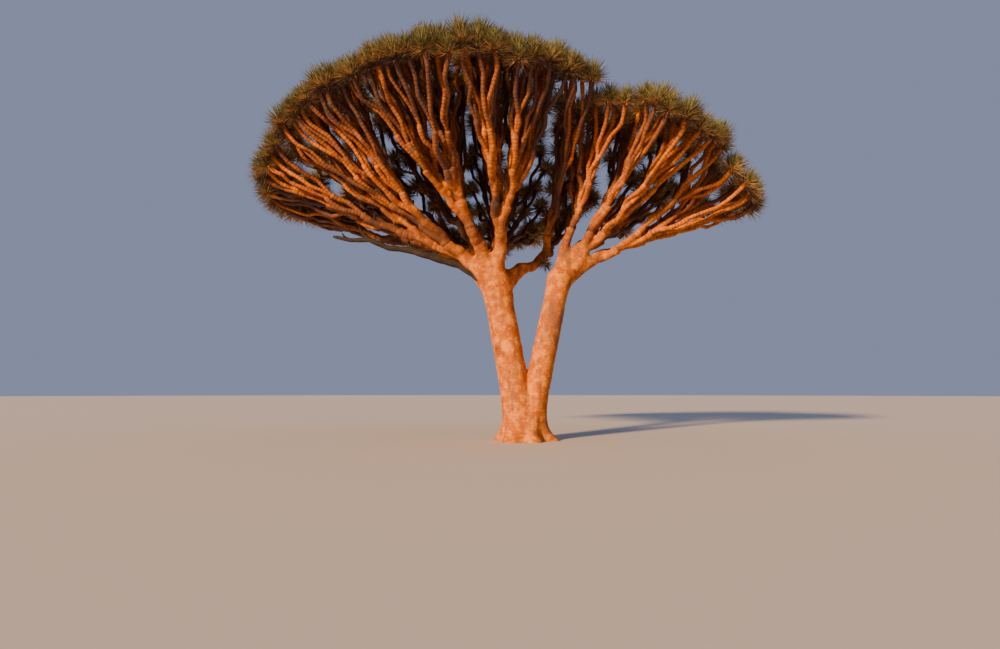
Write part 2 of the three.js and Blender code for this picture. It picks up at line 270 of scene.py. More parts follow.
def grow_on(tips, limb, grown):
    parts = 3 if len(tips) in THREE_WAY_FORK else 2
    for i, part in enumerate(deal(tips, parts)):
        root = limb["end"] - limb["onward"] * ROOT_STEP * (i + 1)
        twig = next_limb(part, root, limb["onward"], 3 * limb["code"] + 1 + i)
        grown.append(twig)
        if not twig["last"]:
            grow_on(part, twig, grown)


def stem_centre(stem, z):
    return Vector((stem["foot"] + stem["lean"] * z, 0, z))


def grow_stem(stem, tips):
    head = stem_centre(stem, stem["head_height"] - HEAD_DEPTH)
    ordered = sorted(tips, key=lambda tip: -tip.x)
    columns = deal(ordered[stem["low_tips"]:], stem["columns"], 0)
    groups = [row for column in columns for row in deal(column, stem["rows"], math.pi / 2)]
    ways = [BACK_BOUGH if i % stem["rows"] == 1 else HIGH_BOUGH for i in range(len(groups))]
    if stem["low_tips"]:
        groups.append(ordered[:stem["low_tips"]])
        ways.append(LOW_BOUGH)
    boughs, limbs, twigs = [], [], []
    for i, (group, way) in enumerate(zip(groups, ways)):
        heading = (mean_of(group) - head).normalized()
        bough = next_limb(group, head, heading, stem["seed"] * 8 + i, **way)
        boughs.append(bough)
        for j, half in enumerate(deal(group, 2)):
            limb = next_limb(half, bough["end"], bough["onward"], 3 * bough["code"] + 1 + j)
            limbs.append(limb)
            grow_on(half, limb, twigs)
    return boughs, limbs, twigs


boughs, limbs, twigs = [], [], []
for side, stem in STEMS.items():
    for kept, grown in zip((boughs, limbs, twigs), grow_stem(stem, tips_of[side])):
        kept.extend(grown)
print("boughs:", len(boughs), "limbs:", len(limbs), "twigs:", len(twigs))

# %% [markdown]
# ## From a line to round wood
# A limb is a curve with a thickness. Points are set evenly along the curve, and at each one a ring
# of corners is turned to face along it. Blender's own curve bevel could do this too, but it would
# not keep how far along the limb each corner is, and the bark needs that for its rings.

# %% Curves
TWIG_RADIUS = 0.031
PIPE_POWER = 0.326
CURVE_STEPS = 48


def limb_radius(tips):
    """A limb is as thick as the twigs that it carries need, like a bundle of pipes."""
    return TWIG_RADIUS * tips**PIPE_POWER


def curve_points(pull, count):
    """Points at even distances along a cubic Bezier curve, and its length."""
    share = np.linspace(0, 1, CURVE_STEPS + 1)[:, None]
    rest = 1 - share
    a, b, c, d = (np.array(point) for point in pull)
    rough = rest**3 * a + 3 * rest**2 * share * b + 3 * rest * share**2 * c + share**3 * d
    gone = np.concatenate([[0], np.cumsum(np.linalg.norm(np.diff(rough, axis=0), axis=1))])
    even = np.linspace(0, gone[-1], count)
    return np.stack([np.interp(even, gone, rough[:, axis]) for axis in range(3)], 1), gone[-1]


def ring_frames(points):
    """At each point, the way along and two ways across that turn as little as they can."""
    along = np.gradient(points, axis=0)
    along /= np.linalg.norm(along, axis=1)[:, None]
    across = np.zeros_like(along)
    first = np.array((1.0, 0, 0)) if abs(along[0][0]) < 0.8 else np.array((0, 1.0, 0))
    for i, way in enumerate(along):
        side = first if i == 0 else across[i - 1]
        side = side - way * side.dot(way)
        across[i] = side / np.linalg.norm(side)
    return along, across, np.cross(along, across)


print("a twig's radius:", TWIG_RADIUS, "m; a bough's:", round(limb_radius(45), 3), "m")

# %% Tubes
TUBE_END_BULGE = 0.3


class Wood:
    """Closed tubes gathered into one mesh. Each corner knows how far along it is and its painted shade."""

    def __init__(self):
        self.corners, self.faces, self.along, self.tone = [], [], [], []
        self.count = 0

    def add(self, points, radii, sides, start_along=0.0, tone=0.0):
        along, across, over = ring_frames(points)
        turn = np.linspace(0, 2 * math.pi, sides, endpoint=False)
        ring = np.cos(turn)[None, :, None] * across[:, None] + np.sin(turn)[None, :, None] * over[:, None]
        rings = points[:, None] + ring * radii[:, None, None]
        gone = np.concatenate([[0], np.cumsum(np.linalg.norm(np.diff(points, axis=0), axis=1))])
        far = len(points) * sides
        low_end = points[0] - along[0] * radii[0] * TUBE_END_BULGE
        high_end = points[-1] + along[-1] * radii[-1] * TUBE_END_BULGE
        tone = np.broadcast_to(tone, len(points))
        for i in range(len(points) - 1):
            for j in range(sides):
                k = (j + 1) % sides
                low, high = self.count + i * sides, self.count + (i + 1) * sides
                self.faces.append((low + j, low + k, high + k, high + j))
        for j in range(sides):
            k = (j + 1) % sides
            self.faces.append((self.count + k, self.count + j, self.count + far))
            top = self.count + far - sides
            self.faces.append((top + j, top + k, self.count + far + 1))
        self.keep(
            np.concatenate([rings.reshape(-1, 3), [low_end, high_end]]),
            start_along + np.concatenate([np.repeat(gone, sides), [0, gone[-1]]]),
            np.concatenate([np.repeat(tone, sides), [tone[0], tone[-1]]]),
        )

    def keep(self, corners, along, tone):
        self.corners.append(corners)
        self.along.append(along)
        self.tone.append(tone)
        self.count += len(corners)

    def mesh(self, name):
        made = bpy.data.meshes.new(name)
        made.from_pydata(np.concatenate(self.corners).tolist(), [], self.faces)
        self.write_attributes(made)
        made.shade_smooth()
        return made

    def write_attributes(self, mesh, order=slice(None)):
        """Writes along and painted shade to a mesh whose corners are taken from these in a given order."""
        for name, values in (("along", self.along), ("tone", self.tone)):
            kept = mesh.attributes.new(name, "FLOAT", "POINT")
            kept.data.foreach_set("value", np.concatenate(values)[order])


def nodes_with(*words):
    return [node for node in nodes if any(word in node for word in words)]


def piece_of(mesh, slot, *replaced):
    """A piece of the dressed tree: it takes the place of the named nodes of the plain model."""
    piece = bpy.data.objects.new(mesh.name, mesh)
    bpy.context.scene.collection.objects.link(piece)
    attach(piece, "root")
    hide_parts(*replaced)
    return piece


print("the plain model has", len(nodes_with("mass")), "masses of twigs and leaves")

# %% [markdown]
# ## The swell of a limb
# A dragon tree's limb is a chain of growths, like a string of sausages. Each one bulges, then narrows
# sharply where the next one began, and at some of these joints the limb turns a little, like a knee.
# So the radius is a row of rounded humps, narrow at a twig's root and wide at its fork, and the
# middle line is moved sideways by straight stretches, not by waves. A thick limb has a flared root.

# %% Profile of a limb
KNOT_SPACING = 0.18
KNOT_DEPTH = 0.34
KNOT_FADE = -0.22
KNOT_ROUNDNESS = 0.7
KNOT_MEAN = 0.6
KNOT_SPREAD = 0.25
KNOT_WANDER = 0.13
NECK_LENGTH = 0.16
THICK_TIPS = (8, 30)
THICK_ROOT = 0.30
ROOT_AND_FORK = 0.8
FORK_AT = 0.96
LAST_TAPER = 0.9
LIMB_TAPER = 0.7


def limb_radii(limb, gone):
    length = gone[-1]
    share = gone / length
    code = limb["code"]
    thick = limb_radius(limb["tips"])
    thin = LAST_TAPER * thick if limb["last"] else limb_radius(LIMB_TAPER * limb["tips"])
    taper = thick + (thin - thick) * share
    depth = KNOT_DEPTH * limb["tips"] ** KNOT_FADE
    thick_root = smoothstep(limb["tips"], *THICK_TIPS)
    at_root = THICK_ROOT * thick_root - ROOT_AND_FORK * depth * (1 - thick_root)
    neck = 1 + at_root * np.exp(-((share / NECK_LENGTH) ** 2))
    swell = 1 + ROOT_AND_FORK * depth * np.exp(-(((share - FORK_AT) / NECK_LENGTH) ** 2))
    turns = gone / KNOT_SPACING * (1 + KNOT_SPREAD * wobble(code, 22)) + wobble(code, 21)
    turns += KNOT_SPREAD * np.sin(gone / KNOT_WANDER + 3 * wobble(code, 23))
    humps = 1 + depth * (np.abs(np.cos(math.pi * turns)) ** KNOT_ROUNDNESS - KNOT_MEAN)
    return taper * neck * swell * humps


print("knots every", KNOT_SPACING, "m")

# %% Knees
KNEE_SPACING = 0.34
KNEE_SLANT = 0.25
KNEE_MOST = 0.075
KNEE_SHIFT = 0.3


def kinked(limb, points, length):
    """Moves the knees of a limb sideways, but not its ends."""
    along, across, over = ring_frames(points)
    share = np.linspace(0, 1, len(points))
    code = limb["code"]
    count = max(2, round(length / KNEE_SPACING))
    shifts = [0] + [KNEE_SHIFT * wobble(code + k, 24) for k in range(1, count)] + [0]
    knees = np.arange(count + 1) + np.array(shifts)
    size = min(KNEE_SLANT * length / count, KNEE_MOST)
    for salt, side in ((26, across), (28, over)):
        moves = [0] + [size * wobble(code + 7 * k, salt) for k in range(1, count)] + [0]
        points = points + side * np.interp(share * count, knees, moves)[:, None]
    return points


print("knees about every", KNEE_SPACING, "m")

# %% [markdown]
# ## Painted shade on the limbs
# Deep in the crown and high under the leaves the limbs lie in shade, while limbs at the front and in
# the open right crown are lit. The light alone doesn't darken them enough, so the bark is painted a
# dull greyish shade: each point of a limb gets a painted shade, worked out from its place and a little
# chance, and none below the crown. The chance goes over from the parent's to the limb's own, so no
# colour jumps at a fork.

# %% Painted shade of a limb
DEEP_FROM, DEEP_TO = -0.9, 1.2
HIGH_FROM, HIGH_TO = 4.9, 6.2
CLEAR_FROM, CLEAR_TO = 0.3, 2.0
SHADE_HEIGHT_FROM, SHADE_HEIGHT_TO = 2.9, 4.1
DEEP_SHADE, HIGH_SHADE, CLEAR_LIGHT = 0.9, 0.75, 0.5
MEAN_SHADE, CHANCE_SHADE = 0.3, 0.9
FLARE_LENGTH = 0.40


# Painted shade: darker deep in the crown and high under the leaves, lighter in the open right crown, uneven
# by chance, and none below the crown.
def painted_limb_shade(code, points):
    deep = smoothstep(points[:, 1], DEEP_FROM, DEEP_TO)
    high = smoothstep(points[:, 2], HIGH_FROM, HIGH_TO)
    clear = smoothstep(points[:, 0], CLEAR_FROM, CLEAR_TO)
    before, own = wobble((code - 1) // 3, 61), wobble(code, 61)
    chance = before + (own - before) * np.linspace(0, 1, len(points))
    shade = DEEP_SHADE * deep + HIGH_SHADE * high + MEAN_SHADE - CLEAR_LIGHT * clear + CHANCE_SHADE * chance
    return np.clip(shade, 0, 1) * smoothstep(points[:, 2], SHADE_HEIGHT_FROM, SHADE_HEIGHT_TO)


def add_limb(wood, limb, sides, ring_spacing, flare=0.0):
    length = curve_points(limb["pull"], 2)[1]
    count = max(5, round(length / ring_spacing) + 1)
    points, length = curve_points(limb["pull"], count)
    gone = np.linspace(0, length, count)
    radii = limb_radii(limb, gone) * (1 + flare * np.exp(-((gone / FLARE_LENGTH) ** 2)))
    tone = painted_limb_shade(limb["code"], points)
    wood.add(kinked(limb, points, length), radii, sides, 4 * wobble(limb["code"], 23), tone)


mean_painted_shades = [painted_limb_shade(twig["code"], curve_points(twig["pull"], 5)[0]).mean() for twig in twigs]
print("mean shade of the twigs:", round(sum(mean_painted_shades) / len(mean_painted_shades), 2))

# %% [markdown]
# ## The fine twigs
# The last twigs are about six centimetres thick, and there are hundreds of them. At this size a
# fork doesn't show, so plain tubes with six sides will do, and they are cheap. The last twigs and
# the forked ones below them are two pieces, which keeps each of them small enough to export. One
# small shoot is added: it hangs under the low bough and carries a small rosette.

# %% Fine twigs
MOST_FINE_TIPS = 6
FINE_SIDES = 6
FINE_RING_SPACING = 0.052
SHOOT_START = Vector((0.34, 0.80, 3.60))
SHOOT_END = Vector((0.44, 0.70, 3.50))
SHOOT_WAY = Vector((0.40, -0.30, -0.62))
SHOOT_CODE = 4007
SHOOT_SIZE = 0.7
SHOOT_LEAF_STEP = 3

shoot_pull = (SHOOT_START, SHOOT_START.lerp(SHOOT_END, 0.4), SHOOT_START.lerp(SHOOT_END, 0.6), SHOOT_END)
shoot = dict(
    pull=shoot_pull, end=SHOOT_END, onward=SHOOT_WAY.normalized(), last=True, tips=1, code=SHOOT_CODE
)
twigs.append(shoot)

single_wood, forked_wood = Wood(), Wood()
for twig in twigs:
    if twig["last"]:
        add_limb(single_wood, twig, FINE_SIDES, FINE_RING_SPACING)
    elif twig["tips"] <= MOST_FINE_TIPS:
        add_limb(forked_wood, twig, FINE_SIDES, FINE_RING_SPACING)
single_twigs = piece_of(single_wood.mesh("single_twigs"), "bark", *nodes_with("mass"))
forked_twigs = piece_of(forked_wood.mesh("forked_twigs"), "bark", *nodes_with("mass"))
print("fine twigs:", len(single_twigs.data.polygons), "and", len(forked_twigs.data.polygons), "faces")

# %% [markdown]
# ## The two stems
# The thick wood flows together at its forks, and tubes alone would show a crease there. So the
# trunk, boughs and limbs are first gathered as closed tubes that run into one another, and melted
# into one skin later. A stem is a tube that tapers upward and swells again into its head.

# %% Stems
STEM_SIDES = 40
STEM_FROM = 0.7
STEM_RING_SPACING = 0.05
HEAD_SWELL = (0.65, 0.06)
HEAD_CAP = ((-0.02, 1.0), (0.04, 0.86), (0.08, 0.65), (0.11, 0.35))


def stem_radius(stem, z):
    taper = stem["foot_radius"] + (stem["neck_radius"] - stem["foot_radius"]) * z / stem["head_height"]
    low, high = (stem["head_height"] - below for below in HEAD_SWELL)
    return taper + (stem["head_radius"] - taper) * smoothstep(z, low, high)


def add_stem(wood, stem):
    heights = np.arange(STEM_FROM, stem["head_height"] + 0.02, STEM_RING_SPACING)
    points = np.array([stem_centre(stem, z) for z in heights])
    wood.add(points, np.array([stem_radius(stem, z) for z in heights]), STEM_SIDES, heights[0])
    top = np.array([stem_centre(stem, stem["head_height"] + up) for up, share in HEAD_CAP])
    wood.add(top, stem["head_radius"] * np.array([share for up, share in HEAD_CAP]), STEM_SIDES, 3)


trunk_wood = Wood()
for stem in STEMS.values():
    add_stem(trunk_wood, stem)
print("stem faces:", len(trunk_wood.faces))

# %% [markdown]
# ## The boughs' roots
# A bough isn't stuck on the stem's head: its wood rises inside the stem for some 60 centimetres and
# turns out. Such a strand for each bough gives the head its muscles. The bough's own tube starts with a
# flare, so that the skin closes around both.

# %% Limbs, boughs and their strands
LIMB_SIDES, LIMB_RING_SPACING = 20, 0.04
BOUGH_SIDES, BOUGH_RING_SPACING = 24, 0.05
BOUGH_FLARE = 0.58
STRAND_DROP = 0.62
STRAND_JOIN = 0.62
STRAND_OUT = 0.42
STRAND_ROOT = 0.6
STRAND_RISE = 0.55
STRAND_TURN = 0.30
STRAND_WIDTHS = (0.55, 1.08)
STRAND_RINGS = 16


def add_root_strand(wood, stem, bough):
    """A strand of wood that rises inside the stem and turns out into the bough."""
    low = stem_centre(stem, stem["head_height"] - STRAND_DROP)
    start, out, back, end = bough["pull"]
    join = start.lerp(end, STRAND_JOIN)
    way = (join - start).normalized()
    up = (stem_centre(stem, 1) - stem_centre(stem, 0)).normalized()
    side = Vector((way.x, way.y, 0)).normalized() * stem["neck_radius"] * STRAND_OUT
    rise = low + side + up * STRAND_DROP * STRAND_RISE
    pull = (low + side * STRAND_ROOT, rise, join - way * STRAND_TURN, join)
    points = curve_points(pull, STRAND_RINGS)[0]
    wide = limb_radius(bough["tips"])
    radii = np.linspace(*STRAND_WIDTHS, STRAND_RINGS) * wide
    wood.add(points, radii, BOUGH_SIDES, stem["head_height"] - STRAND_DROP)


for limb in limbs:
    add_limb(trunk_wood, limb, LIMB_SIDES, LIMB_RING_SPACING)
for bough in boughs:
    add_limb(trunk_wood, bough, BOUGH_SIDES, BOUGH_RING_SPACING, flare=BOUGH_FLARE)
    add_root_strand(trunk_wood, STEMS["left" if bough["pull"][0].x < 0 else "right"], bough)
print("with limbs and boughs:", len(trunk_wood.faces), "faces")

# %% [markdown]
# ## The foot
# Below the fork the two stems are one trunk. Its outline at each height is the outline of both stems
# together, and near the ground it spreads into six lobes where the roots begin. It is made a little
# too deep, and the finished skin is cut off flat at ground level.

# %% Foot
FORK_HEIGHT = 1.2
FOOT_DEPTH = 0.06
ROOT_FLARE = 0.26
FLARE_HEIGHT = 0.23
ROOT_LOBES = 6
LOBE_DEPTH = 0.35
LOBE_UNEVENNESS = 0.2
FOOT_SIDES, FOOT_RINGS = 72, 30


def foot_reach(z, middle, angle):
    """How far the foot's outline is from its middle, at a height and in a direction."""
    x, y = math.cos(angle), math.sin(angle)
    out = 0
    for stem in STEMS.values():
        offset = stem_centre(stem, z).x - middle
        chord = math.sqrt(max(0, stem_radius(stem, z) ** 2 - (offset * y) ** 2))
        out = max(out, offset * x + chord)
    lobes = 1 + LOBE_DEPTH * math.sin(ROOT_LOBES * angle + 0.8)
    lobes += LOBE_UNEVENNESS * math.sin(3 * angle + 2)
    return out + ROOT_FLARE * lobes * math.exp(-max(0, z) / FLARE_HEIGHT)


def foot_corners():
    corners = []
    for i in range(FOOT_RINGS + 1):
        z = -FOOT_DEPTH + (FORK_HEIGHT + FOOT_DEPTH) * i / FOOT_RINGS
        middle = sum(stem_centre(stem, z).x for stem in STEMS.values()) / 2
        for j in range(FOOT_SIDES):
            angle = 2 * math.pi * j / FOOT_SIDES
            out = foot_reach(z, middle, angle)
            corners.append((middle + math.cos(angle) * out, -math.sin(angle) * out, z))
    return np.array(corners)


def foot_faces(first):
    faces = []
    for i in range(FOOT_RINGS):
        low, high = first + i * FOOT_SIDES, first + (i + 1) * FOOT_SIDES
        for j in range(FOOT_SIDES):
            k = (j + 1) % FOOT_SIDES
            faces.append((low + k, low + j, high + j, high + k))
    faces.append(tuple(range(first, first + FOOT_SIDES)))
    top = first + FOOT_RINGS * FOOT_SIDES
    faces.append(tuple(reversed(range(top, top + FOOT_SIDES))))
    return faces


trunk_wood.faces += foot_faces(trunk_wood.count)
corners = foot_corners()
trunk_wood.keep(corners, corners[:, 2], np.zeros(len(corners)))
print("with the foot:", len(trunk_wood.faces), "faces")

# %% [markdown]
# ## Melting the tubes into one skin
# The Remesh modifier wraps all closed tubes in one skin of small squares, and a little smoothing
# rounds the creases at the forks. Remesh forgets everything that the corners knew, so each new
# corner looks up the nearest old one for how far along it is and for its painted shade.

# %% Melt
SKIN_SQUARE = 0.021


def melt(wood, name, smooth_times):
    mesh = wood.mesh("tubes")
    tree = kdtree.KDTree(len(mesh.vertices))
    for i, place in enumerate(np.concatenate(wood.corners)):
        tree.insert(place, i)
    tree.balance()
    melted = bpy.data.objects.new("tubes", mesh)
    bpy.context.scene.collection.objects.link(melted)
    remesh = melted.modifiers.new("melt", "REMESH")
    remesh.mode = "VOXEL"
    remesh.voxel_size = SKIN_SQUARE
    smooth = melted.modifiers.new("smooth", "SMOOTH")
    smooth.factor = 0.5
    smooth.iterations = smooth_times
    shown = melted.evaluated_get(bpy.context.evaluated_depsgraph_get())
    skin = bpy.data.meshes.new_from_object(shown)
    skin.name = name
    bpy.data.objects.remove(melted)
    wood.write_attributes(skin, [tree.find(corner.co)[1] for corner in skin.vertices])
    skin.shade_smooth()
    return skin


trunk_skin = melt(trunk_wood, "trunk_boughs_and_limbs", smooth_times=8)
print("trunk skin:", len(trunk_skin.polygons), "faces")

# %% [markdown]
# ## Filling the crotches
# Where boughs part, a real tree's bark is stretched over the gap like a web. Near the two heads each
# corner is drawn towards the middle of its neighbours, again and again, which fills the crotches and
# leaves the far wood as it was.

# %% Fill the crotches
RELAX_REACH = 0.85
RELAX_FADE = 0.30
RELAX_STEP = 0.5
RELAX_TIMES = 40


def relax_shares(places):
    """How much each place is near a stem's head, from 0 to 1."""
    share = np.zeros(len(places))
    for stem in STEMS.values():
        head = np.array(stem_centre(stem, stem["head_height"] - 0.05))
        apart = np.linalg.norm(places - head, axis=1)
        share = np.maximum(share, np.clip((RELAX_REACH - apart) / RELAX_FADE, 0, 1))
    return share


def relax(skin):
    count = len(skin.vertices)
    places = np.empty(3 * count)
    skin.vertices.foreach_get("co", places)
    places = places.reshape(-1, 3)
    ends = np.empty(2 * len(skin.edges), dtype=int)
    skin.edges.foreach_get("vertices", ends)
    one, two = ends.reshape(-1, 2).T
    degree = np.bincount(ends, minlength=count)
    share = relax_shares(places)
    for _ in range(RELAX_TIMES):
        for axis in range(3):
            line = places[:, axis]
            total = np.bincount(one, line[two], count) + np.bincount(two, line[one], count)
            line += RELAX_STEP * share * (total / degree - line)
    skin.vertices.foreach_set("co", places.ravel())
    skin.update()
    return share


print("corners near the heads:", int((relax(trunk_skin) > 0).sum()))

# %% [markdown]
# ## Relief and the flat cut
# The bark has shallow folds and lumps that catch the low light. Noise pushes each corner in or out
# by a few millimetres, two sizes of it together. Then the foot is cut off flat at ground level.

# %% Relief and cut
TRUNK_RELIEF = 0.012
BRANCH_RELIEF = 0.009


def press_relief(skin, depth):
    outward = [corner.normal.copy() for corner in skin.vertices]
    for corner, way in zip(skin.vertices, outward):
        lumps = noise.noise(corner.co * 3.5) + 0.5 * noise.noise(corner.co * 9)
        corner.co = corner.co + way * depth * lumps


def cut_flat(skin):
    """Takes away what lies below the ground, and closes the cut."""
    work = bmesh.new()
    work.from_mesh(skin)
    everything = work.verts[:] + work.edges[:] + work.faces[:]
    ground = dict(plane_co=(0, 0, 0), plane_no=(0, 0, 1))
    cut = bmesh.ops.bisect_plane(work, geom=everything, clear_inner=True, **ground)
    edges = [part for part in cut["geom_cut"] if isinstance(part, bmesh.types.BMEdge)]
    bmesh.ops.contextual_create(work, geom=edges)
    work.to_mesh(skin)
    work.free()


press_relief(trunk_skin, TRUNK_RELIEF)
cut_flat(trunk_skin)
trunk = piece_of(trunk_skin, "bark", "trunk_foot", *nodes_with("stem", "bough", "_limb_"))
print("trunk faces after the cut:", len(trunk_skin.polygons))

# %% [markdown]
# ## The branches
# Between the limbs and the fine twigs lie the branches, thick enough for their forks to show. They
# are melted in the same way, with less smoothing, because it would make them thin.

# %% Branches
BRANCH_SIDES, BRANCH_RING_SPACING = 16, 0.04

branch_wood = Wood()
for twig in twigs:
    if twig["tips"] > MOST_FINE_TIPS:
        add_limb(branch_wood, twig, BRANCH_SIDES, BRANCH_RING_SPACING)
branch_skin = melt(branch_wood, "branches", smooth_times=3)
press_relief(branch_skin, BRANCH_RELIEF)
branches = piece_of(branch_skin, "bark", *nodes_with("mass"))
print("branch faces:", len(branch_skin.polygons))

# %% [markdown]
# ## Dead limb
# One long bare limb on the lower left has died. It keeps its own piece, because its bark is darker,
# partly as painted shade, and cracked. It is kinked where side shoots once grew, four of them still
# stand as bare stubs, and its end is broken off short and ragged.

# %% Dead limb
DEAD_LIMB = ((-0.620, 0.040, 2.860), (-1.300, 0.060, 3.520), (-2.400, 0.150, 3.700), (-3.760, 0.250, 3.940))
DEAD_RADII = (0.088, 0.036)
DEAD_RINGS = 90
DEAD_KINKS = 9
DEAD_KINK_SIZE = 0.045
DEAD_KNOT_DEPTH = 0.16
DEAD_KNOT_SPACING = 0.31
BROKEN_END = (0.95, 0.7, 0.35)

dead_points, dead_length = curve_points(DEAD_LIMB, DEAD_RINGS)
share = np.linspace(0, 1, DEAD_RINGS)
kinks = np.linspace(0, 1, DEAD_KINKS + 1)
for axis in (1, 2):
    moves = [0] + [DEAD_KINK_SIZE * wobble(k, 40 + axis) for k in range(1, DEAD_KINKS)] + [0]
    dead_points[:, axis] += np.interp(share, kinks, moves)
dead_radii = DEAD_RADII[0] + (DEAD_RADII[1] - DEAD_RADII[0]) * share
humps = np.abs(np.cos(share * dead_length / DEAD_KNOT_SPACING * math.pi)) ** KNOT_ROUNDNESS - KNOT_MEAN
dead_radii *= 1 + DEAD_KNOT_DEPTH * humps
dead_radii[-3:] *= np.array(BROKEN_END)
dead_wood = Wood()
dead_wood.add(dead_points, dead_radii, 12)
print("dead limb:", round(dead_length, 2), "m long")

# %% Its shoots
# Each shoot: its place along the limb, its length and how far it leans to the back.
DEAD_SHOOTS = ((0.50, 0.34, 0.9), (0.66, 0.22, -0.6), (0.78, 0.40, 0.5), (0.90, 0.20, -0.9))
DEAD_SHOOT_WIDTHS = (0.62, 0.26)
DEAD_SHOOT_RINGS = 10
DEAD_SHOOT_BOW = 0.2

for place, length, side in DEAD_SHOOTS:
    i = round(place * (DEAD_RINGS - 1))
    root = Vector(dead_points[i])
    tip = root + Vector((-0.55, 0.5 * side, 0.65 + 0.2 * side)).normalized() * length
    bow = root.lerp(tip, 0.5) + Vector((-DEAD_SHOOT_BOW * length, 0, 0))
    points = curve_points((root, bow, bow, tip), DEAD_SHOOT_RINGS)[0]
    dead_wood.add(points, dead_radii[i] * np.linspace(*DEAD_SHOOT_WIDTHS, DEAD_SHOOT_RINGS), 8)
print("shoots:", len(DEAD_SHOOTS))

# %% [markdown]
# ## Stubs
# Among the living boughs some short twigs have died too and stand as bare grey stubs. They grow from
# a few branches, chosen by their wobble, and belong to the dead limb's piece.

# %% Stubs
STUB_TIPS = range(7, 31)
STUB_CHANCE = 0.72
STUB_AT = 0.6
STUB_ASIDE = 0.9
STUB_LENGTH = 0.30
STUB_LENGTH_SPREAD = 0.10
STUB_RADIUS = 0.026
STUB_WIDTHS = (1.2, 1, 0.9, 1, 0.85, 0.9, 0.6)

stub_parents = [
    twig for twig in twigs if twig["tips"] in STUB_TIPS and wobble(twig["code"], 51) > STUB_CHANCE
]
for twig in stub_parents:
    start, out, back, end = twig["pull"]
    root = start.lerp(end, STUB_AT)
    aside = Vector((wobble(twig["code"], 52), wobble(twig["code"], 53), 0.4))
    length = STUB_LENGTH + STUB_LENGTH_SPREAD * wobble(twig["code"], 54)
    tip = root + (twig["onward"] + STUB_ASIDE * aside).normalized() * length
    points = curve_points((root, root.lerp(tip, 0.3), root.lerp(tip, 0.7), tip), len(STUB_WIDTHS))[0]
    dead_wood.add(points, STUB_RADIUS * np.array(STUB_WIDTHS), 7)
dead = piece_of(dead_wood.mesh("dead_limb_and_stubs"), "dead_bark", "left_dead_limb")
print("stubs:", len(stub_parents))

# %% [markdown]
# ## Leaves
# Each twig ends in a pincushion of stiff sword leaves. They leave the twig in a spiral. The young
# ones in the middle stand up, and the old ones at the bottom lie flat or hang, brown. A leaf is
# widest near its root and folded along its middle, so that it catches light on one half. Five
# corners and four faces are enough for it. Each leaf has one of five ages, and one rosette is
# younger or older than the next, so the crown is dappled.

# %% One rosette
LEAVES = 190
LEAF_LENGTH = 0.315
LEAF_WIDTH = 0.023
LEAF_FOLD = 0.30
WIDEST_AT = 0.30
LEAF_AGES = ("fresh", "olive", "golden", "old", "dry")
OLDEST_OF_AGE = (0.30, 0.60, 0.84, 0.94)
AGE_SPREAD = 0.20
TOP_COSINE = 0.99
LOW_COSINE = -0.30
HANGING_FROM = 0.9
HANGING_LENGTH = 0.8
HANGING_BEND = 0.12
LEAF_BEND = (0.02, 0.05)
LENGTH_RANGE = (0.84, 1.08)
ROOT_HIGH, ROOT_RUN, ROOT_OUT = 0.04, 0.09, 0.018
COSINE_JITTER, TURN_JITTER, AGE_JITTER = 0.04, 0.10, 0.09


def unit(vectors):
    return vectors / np.linalg.norm(vectors, axis=-1, keepdims=True)


def leaf_ways(axis, share, code, chance):
    """The direction of each leaf, its upper side and the way out from the twig."""
    cosine = TOP_COSINE + (LOW_COSINE - TOP_COSINE) * share + chance.normal(0, COSINE_JITTER, LEAVES)
    cosine = cosine.clip(-0.7, 0.999)
    sine = np.sqrt(1 - cosine**2)
    turn = np.arange(LEAVES) * GOLDEN_ANGLE + math.pi * wobble(code, 31)
    turn = turn + chance.normal(0, TURN_JITTER, LEAVES)
    across = unit(np.cross(axis, (0.3, 1.0, 0.1)))
    over = np.cross(axis, across)
    out = np.cos(turn)[:, None] * across + np.sin(turn)[:, None] * over
    way = axis * cosine[:, None] + out * sine[:, None]
    back = unit(axis - way * (way @ axis)[:, None])
    return way, back, out


def rosette(place, axis, code, chance, size):
    """The corners of a rosette's leaves, five each, and which age each leaf has."""
    share = (np.arange(LEAVES) + 0.5) / LEAVES
    axis = np.array(axis)
    way, back, out = leaf_ways(axis, share, code, chance)
    side = np.cross(way, back)
    hanging = share > HANGING_FROM
    length = size * LEAF_LENGTH * (1 + 0.10 * wobble(code, 32)) * chance.uniform(*LENGTH_RANGE, LEAVES)
    length *= np.where(hanging, HANGING_LENGTH, 1)
    root = np.array(place) + axis * (ROOT_HIGH - ROOT_RUN * share)[:, None] + out * ROOT_OUT
    bend = chance.normal(*LEAF_BEND, LEAVES) - HANGING_BEND * hanging
    middle = root + way * (length * WIDEST_AT)[:, None]
    half = 0.5 * LEAF_WIDTH * side
    fold = back * LEAF_FOLD * LEAF_WIDTH
    tip = root + way * length[:, None] + back * (bend * length)[:, None]
    corners = np.stack([root, middle - half + fold, middle, middle + half + fold, tip], 1)
    age = share + AGE_SPREAD * wobble(code, 33) + chance.normal(0, AGE_JITTER, LEAVES)
    return corners, np.digitize(age, OLDEST_OF_AGE)


print("leaves in a rosette:", LEAVES)

# %% [markdown]
# ## All leaves
# Every last twig gets its rosette. The leaves of one age are joined into one mesh, because half a
# thousand small objects would be slow to draw, and each age has a finish of its own. The small
# rosette under the low bough has only a third of the leaves.

